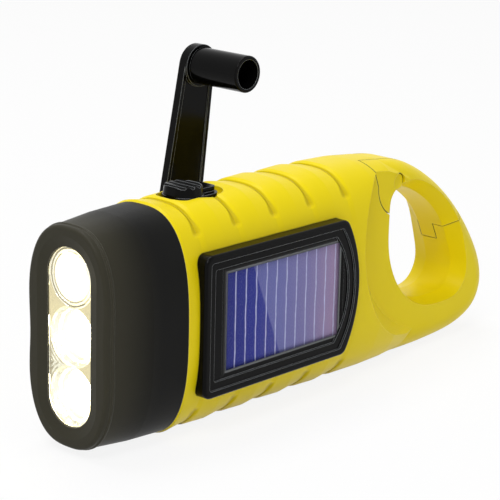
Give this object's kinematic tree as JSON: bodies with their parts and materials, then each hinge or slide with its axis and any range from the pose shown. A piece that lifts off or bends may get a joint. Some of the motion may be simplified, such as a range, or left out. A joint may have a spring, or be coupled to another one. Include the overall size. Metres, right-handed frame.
{
  "type": "hand crank flashlight",
  "caption": "Hand-cranked torch: oval head with a row of lamps, solar panel in the grip, folding side crank and a sprung carabiner hook.",
  "frame": {"origin": "centre of the clear window's outer face, where the light leaves", "axes": "+X from the lamps to the hook, +Z to the switch side, -Y to the solar panel, +Y to the crank"},
  "size_m": [0.1339, 0.0499, 0.0736],
  "materials": {
    "yellow_shell": "satin, smooth",
    "black_head": "fine satin",
    "gloss_black": "gloss",
    "clear_window": "clear polycarbonate, gloss",
    "reflector_chrome": "bright plated",
    "led_body": "clear epoxy",
    "circuit_board": "solder mask",
    "solar_cell": "deep blue cell under clear resin",
    "black_rubber": "matte",
    "steel": "zinc plated",
    "white_gear": "moulded nylon",
    "dark_plastic": "moulded",
    "copper_coil": "enamelled wire",
    "brass_bush": "turned",
    "magnet": "sintered",
    "battery_wrap": "shrink wrap",
    "wire_red": "insulation"
  },
  "bodies": {
    "torch": {"body_housing": "yellow_shell", "side_cover": "yellow_shell", "cover_screws": "steel", "head_bezel": "black_head", "head_gasket": "black_rubber", "lens_window": "clear_window", "reflector": "reflector_chrome", "leds": "led_body", "led_board": "circuit_board", "solar_frame": "gloss_black", "solar_cell": "solar_cell", "solar_window": "clear_window", "main_board": "circuit_board", "switch_body": "dark_plastic", "battery": "battery_wrap", "battery_clips": "dark_plastic", "gearbox_plate": "dark_plastic", "plate_screws": "steel", "idler_axle": "steel", "generator_can": "steel", "generator_coil": "copper_coil", "hub_bushing": "brass_bush", "gate_pin": "yellow_shell", "gate_spring": "steel", "usb_socket": "steel", "wires": "wire_red"},
    "switch": {"switch_cap": "gloss_black", "switch_lever": "dark_plastic"},
    "crank": {"crank_hub": "gloss_black", "crank_gear": "white_gear", "gear_screw": "steel", "hinge_pin": "steel"},
    "arm": {"crank_arm": "gloss_black", "knob_pin": "gloss_black"},
    "knob": {"crank_knob": "gloss_black"},
    "idler": {"idler_gear": "white_gear"},
    "rotor": {"rotor_shaft": "steel", "rotor_magnet": "magnet"},
    "gate": {"hook_gate": "yellow_shell"},
    "port_cover": {"usb_cover": "black_rubber"}
  },
  "joints": [
    {"name": "switch_slide", "type": "slide", "parent": "torch", "child": "switch", "axis": [1, 0, 0], "range_m": [-0.0015, 0.0015]},
    {"name": "crank_turn", "type": "hinge", "parent": "torch", "child": "crank", "pos_m": [0.0615, 0, 0], "axis": [0, 1, 0], "continuous": true},
    {"name": "crank_flip", "type": "hinge", "parent": "crank", "child": "arm", "pos_m": [0.0615, 0.0311, 0], "axis": [-0.9877, 0, 0.1564], "range_deg": [0, 180]},
    {"name": "knob_spin", "type": "hinge", "parent": "arm", "child": "knob", "pos_m": [0.0684, 0, 0.04356], "axis": [0, 1, 0], "continuous": true},
    {"name": "idler_spin", "type": "hinge", "parent": "torch", "child": "idler", "pos_m": [0.04087, 0, -0.00394], "axis": [0, 1, 0], "continuous": true},
    {"name": "rotor_spin", "type": "hinge", "parent": "torch", "child": "rotor", "pos_m": [0.05497, 0, 0.0012], "axis": [0, 1, 0], "continuous": true},
    {"name": "gate_swing", "type": "hinge", "parent": "torch", "child": "gate", "pos_m": [0.0962, 0, 0.0182], "axis": [0, 1, 0], "range_deg": [0, 20], "stiffness_Nm_per_rad": 0.05, "springref_deg": -22.92},
    {"name": "port_cover_swing", "type": "hinge", "parent": "torch", "child": "port_cover", "pos_m": [0.0324, 0, -0.0241], "axis": [0, -1, 0], "range_deg": [0, 90]}
  ],
  "couplings": [
    {"joint": "idler_spin", "follows": "crank_turn", "ratio": -4},
    {"joint": "rotor_spin", "follows": "crank_turn", "ratio": 16}
  ]
}
